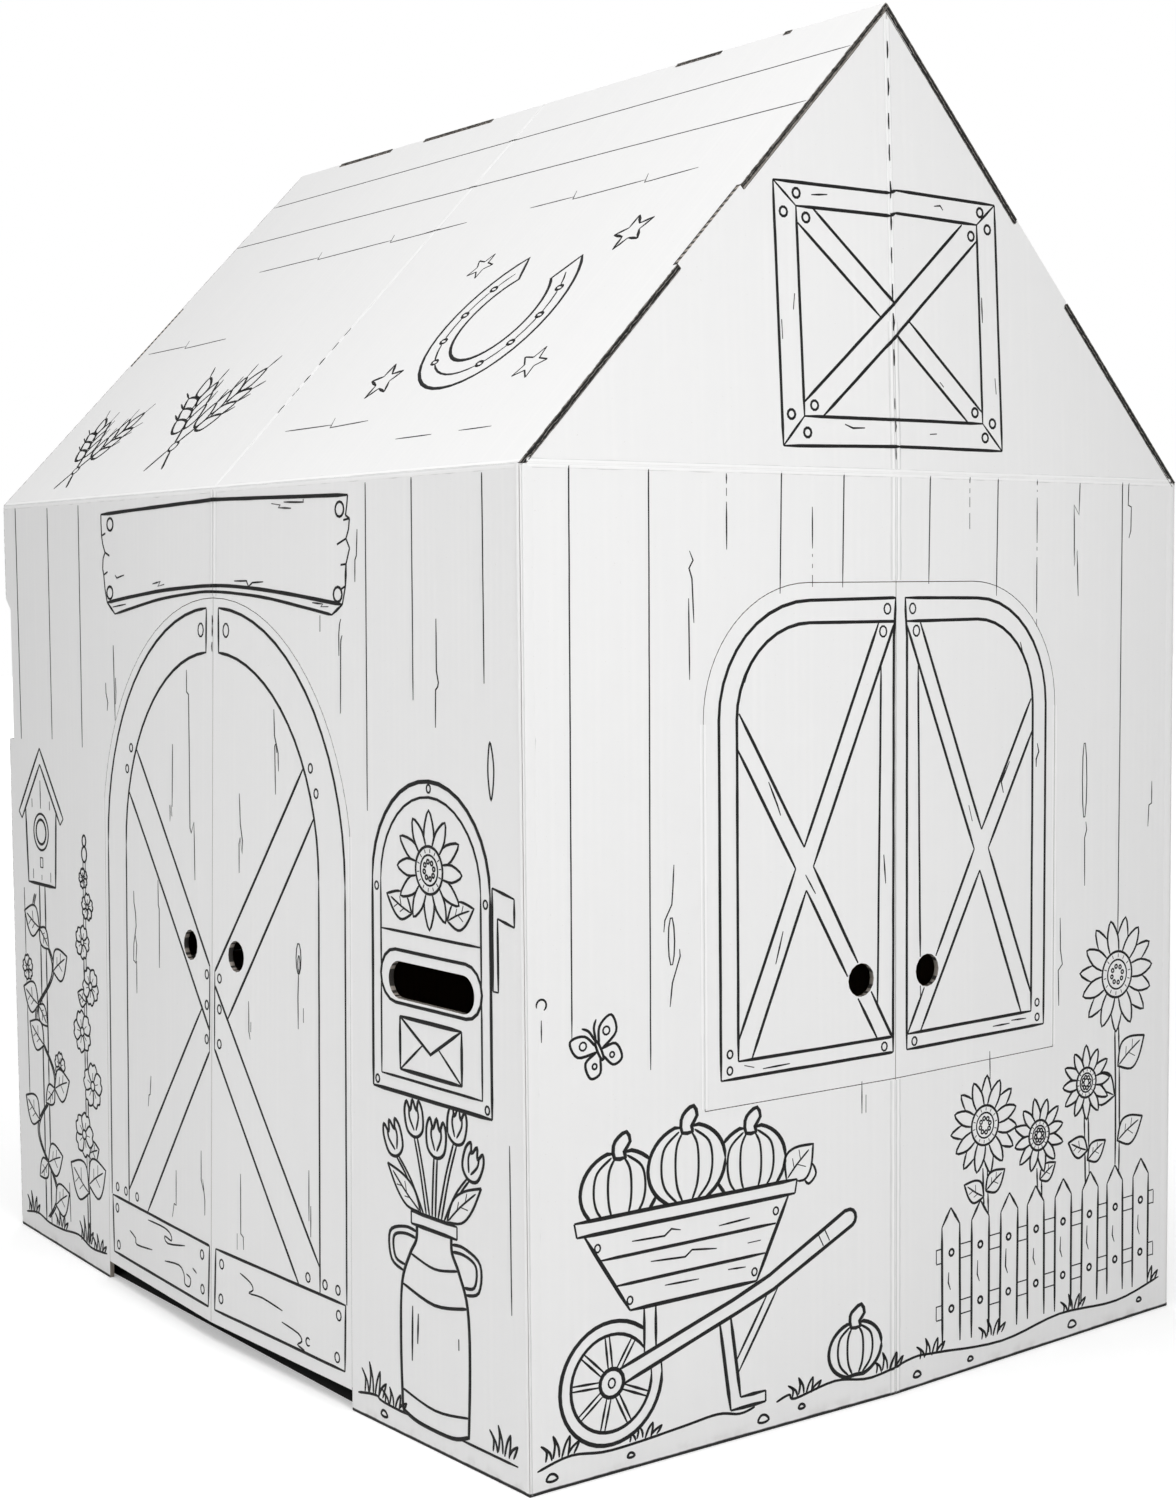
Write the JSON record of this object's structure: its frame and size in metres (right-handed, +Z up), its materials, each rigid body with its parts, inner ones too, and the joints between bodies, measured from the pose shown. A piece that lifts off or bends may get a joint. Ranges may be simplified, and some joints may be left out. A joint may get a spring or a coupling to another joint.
{
  "type": "cardboard playhouse",
  "caption": "Child's corrugated board playhouse with a lift-up gable roof, arched double doors, shuttered gable windows and a letter slot.",
  "frame": {"origin": "on the floor under the middle of the house", "axes": "+Z up, Y along the ridge, -X out of the door wall, -Y out of the near gable"},
  "size_m": [0.6953, 0.867, 1.03],
  "materials": {
    "white_board": "matte",
    "plain_board": "matte",
    "raw_edge": "matte",
    "black_ink": "matte"
  },
  "bodies": {
    "house": {"near_gable_wall_left": "white_board", "near_gable_wall_right": "white_board", "far_gable_wall_left": "white_board", "far_gable_wall_right": "white_board", "near_gable_top_left": "white_board", "near_gable_top_right": "white_board", "far_gable_top_left": "white_board", "far_gable_top_right": "white_board", "door_wall_left": "white_board", "door_wall_right": "white_board", "back_wall_left": "white_board", "back_wall_right": "white_board", "near_gable_flange_left_lower": "plain_board", "near_gable_flange_left_upper": "plain_board", "near_gable_flange_right_lower": "plain_board", "near_gable_flange_right_upper": "plain_board", "far_gable_flange_left_lower": "plain_board", "far_gable_flange_left_upper": "plain_board", "far_gable_flange_right_lower": "plain_board", "far_gable_flange_right_upper": "plain_board", "seam_flap_lower": "plain_board", "seam_flap_upper": "plain_board"},
    "door_left": {"door_left_leaf": "white_board"},
    "door_right": {"door_right_leaf": "white_board"},
    "near_shutter_left": {"near_shutter_left": "white_board"},
    "near_shutter_right": {"near_shutter_right": "white_board"},
    "far_shutter_left": {"far_shutter_left": "white_board"},
    "far_shutter_right": {"far_shutter_right": "white_board"},
    "door_roof": {"door_roof_left": "white_board", "door_roof_right": "white_board", "door_roof_ridge_tab_1": "plain_board", "door_roof_ridge_tab_2": "plain_board", "door_roof_side_tab_left": "plain_board", "door_roof_side_tab_right": "plain_board"},
    "back_roof": {"back_roof_left": "white_board", "back_roof_right": "white_board", "back_roof_ridge_tab_1": "plain_board", "back_roof_ridge_tab_2": "plain_board", "back_roof_side_tab_left": "plain_board", "back_roof_side_tab_right": "plain_board"}
  },
  "joints": [
    {"name": "door_left_hinge", "type": "hinge", "parent": "house", "child": "door_left", "pos_m": [-0.33517, 0.208, 0.3], "axis": [-0.0132, 0, -0.9999], "range_deg": [0, 165]},
    {"name": "door_right_hinge", "type": "hinge", "parent": "house", "child": "door_right", "pos_m": [-0.33517, -0.208, 0.3], "axis": [0.0132, 0, 0.9999], "range_deg": [0, 165]},
    {"name": "near_shutter_left_hinge", "type": "hinge", "parent": "house", "child": "near_shutter_left", "pos_m": [-0.1801, -0.4275, 0.4], "axis": [0, 0, -1], "range_deg": [0, 165]},
    {"name": "near_shutter_right_hinge", "type": "hinge", "parent": "house", "child": "near_shutter_right", "pos_m": [0.1801, -0.4275, 0.4], "axis": [0, 0, 1], "range_deg": [0, 165]},
    {"name": "far_shutter_left_hinge", "type": "hinge", "parent": "house", "child": "far_shutter_left", "pos_m": [0.1801, 0.4275, 0.4], "axis": [0, 0, -1], "range_deg": [0, 165]},
    {"name": "far_shutter_right_hinge", "type": "hinge", "parent": "house", "child": "far_shutter_right", "pos_m": [-0.1801, 0.4275, 0.4], "axis": [0, 0, 1], "range_deg": [0, 165]},
    {"name": "door_roof_lift", "type": "hinge", "parent": "house", "child": "door_roof", "pos_m": [-0.33, 0, 0.69], "axis": [0, -1, 0], "range_deg": [0, 44]},
    {"name": "back_roof_lift", "type": "hinge", "parent": "house", "child": "back_roof", "pos_m": [0.33, 0, 0.69], "axis": [0, 1, 0], "range_deg": [0, 44]}
  ]
}
